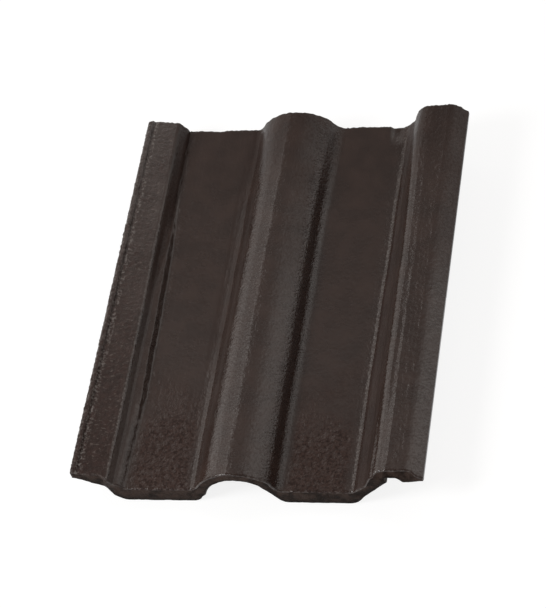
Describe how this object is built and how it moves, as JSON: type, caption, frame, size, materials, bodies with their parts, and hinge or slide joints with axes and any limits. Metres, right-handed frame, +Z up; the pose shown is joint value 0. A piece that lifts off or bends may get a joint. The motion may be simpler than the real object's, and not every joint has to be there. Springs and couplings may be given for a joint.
{
  "type": "clay roof tile",
  "caption": "Interlocking double roman roof tile with flat pans, a round roll between them, a raised channelled underlap on the left and an overlapping roll on the right, dark brown gloss.",
  "frame": {"origin": "on the floor under the middle of the lying tile", "axes": "+X across the tile towards the overlap, +Y along it towards the head, +Z up from the floor"},
  "size_m": [0.33, 0.4209, 0.063],
  "materials": {
    "glazed_clay": "gloss"
  },
  "bodies": {
    "root": {"roof_tile": "glazed_clay"}
  },
  "joints": []
}
